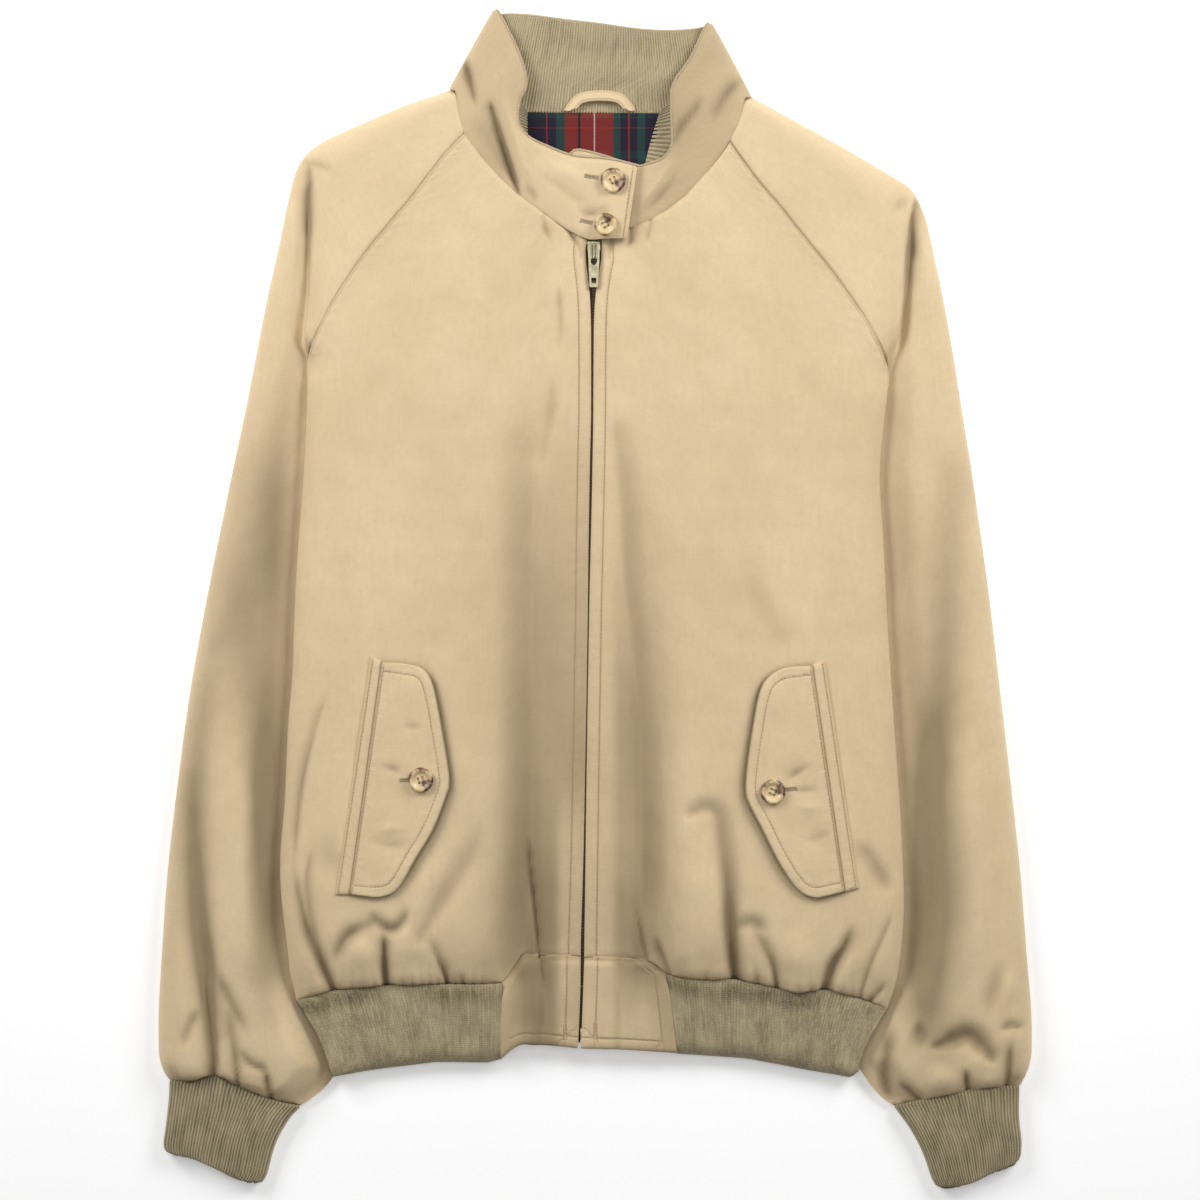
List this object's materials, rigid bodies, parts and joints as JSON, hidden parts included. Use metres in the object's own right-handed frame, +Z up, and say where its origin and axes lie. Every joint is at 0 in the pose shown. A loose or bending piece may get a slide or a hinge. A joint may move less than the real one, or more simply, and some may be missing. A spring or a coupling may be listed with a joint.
{
  "type": "harrington jacket",
  "caption": "Zip-front cotton jacket laid flat, with a buttoned stand collar, raglan sleeves, slanted flap pockets, and rib knit at waist and cuffs.",
  "frame": {"origin": "middle of the laid-out jacket's outline, on the surface that it lies on", "axes": "+X to the wearer's left, +Y up to the collar, +Z up out of the front"},
  "size_m": [0.63, 0.85, 0.0274],
  "materials": {
    "shell_cotton": "matte proofed cotton",
    "rib_knit": "matte rib knit",
    "tartan_cotton": "woven check",
    "zip_tape": "woven tape",
    "aged_nickel": "worn plating",
    "horn_plastic": "polished, marbled"
  },
  "bodies": {
    "jacket": {"front_right": "shell_cotton", "front_left": "shell_cotton", "back": "shell_cotton", "sleeve_right_front": "shell_cotton", "sleeve_right_back": "shell_cotton", "sleeve_left_front": "shell_cotton", "sleeve_left_back": "shell_cotton", "collar_shell": "shell_cotton", "collar_knit": "rib_knit", "waist_knit_right": "rib_knit", "waist_knit_left": "rib_knit", "waist_knit_back": "rib_knit", "waist_tab_right": "shell_cotton", "waist_tab_left": "shell_cotton", "cuff_right": "rib_knit", "cuff_left": "rib_knit", "welt_right": "shell_cotton", "welt_left": "shell_cotton", "flap_right": "shell_cotton", "flap_left": "shell_cotton", "lining": "tartan_cotton", "hanger_loop": "shell_cotton", "zip_tape_right": "zip_tape", "zip_tape_left": "zip_tape", "zip_slider": "aged_nickel", "zip_box": "aged_nickel", "button_collar_top": "horn_plastic", "button_collar_low": "horn_plastic", "button_pocket_right": "horn_plastic", "button_pocket_left": "horn_plastic"},
    "pull_tab": {"zip_pull": "aged_nickel"}
  },
  "joints": [
    {"name": "pull_hinge", "type": "hinge", "parent": "jacket", "child": "pull_tab", "pos_m": [-0.001, 0.2556, 0.013], "axis": [-1, 0, 0], "range_deg": [0, 100]}
  ]
}
